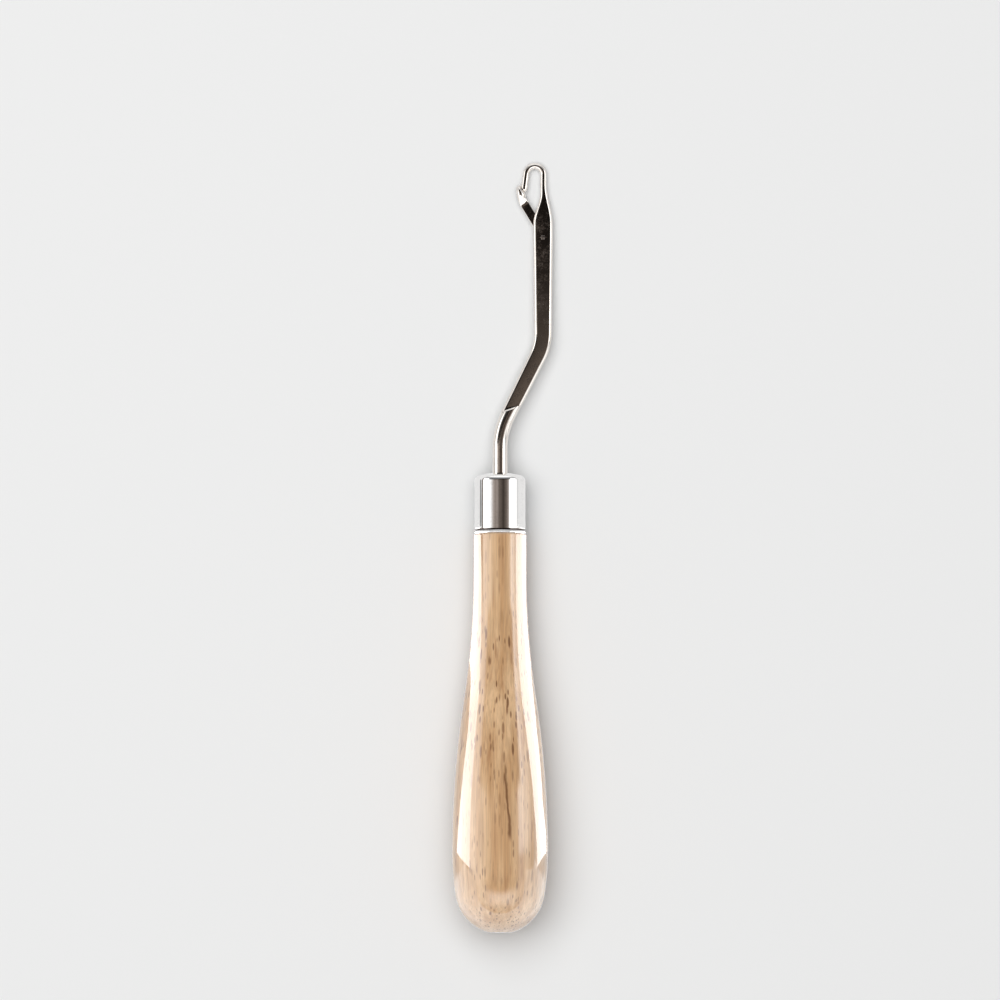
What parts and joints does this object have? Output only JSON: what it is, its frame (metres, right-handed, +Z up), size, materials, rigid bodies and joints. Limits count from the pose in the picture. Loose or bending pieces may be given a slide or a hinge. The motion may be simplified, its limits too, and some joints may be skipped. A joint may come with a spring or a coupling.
{
  "type": "latch hook tool",
  "caption": "Hand tool for knotting rug yarn: a turned wooden handle, a metal ferrule and a cranked flat steel hook whose throat is closed by a small swinging latch.",
  "frame": {"origin": "on the table under the middle of the tool as it lies down, below the handle's axis", "axes": "+Y along the tool towards the hook, +X towards the side that the blade is cranked to, +Z up from the table; the handle's axis dips 3.8 degrees towards the hook"},
  "size_m": [0.0215, 0.1648, 0.0211],
  "materials": {
    "wood": "clear gloss lacquer",
    "nickel": "bright nickel plate",
    "steel": "polished, nickel plated"
  },
  "bodies": {
    "tool": {"handle": "wood", "ferrule": "nickel", "hook_shank": "steel", "latch_rivet": "steel"},
    "latch": {"latch": "steel"}
  },
  "joints": [
    {"name": "latch_hinge", "type": "hinge", "parent": "tool", "child": "latch", "pos_m": [0.0092, 0.06628, 0.00198], "axis": [0, 0.0661, 0.9978], "range_deg": [0, 125]}
  ]
}
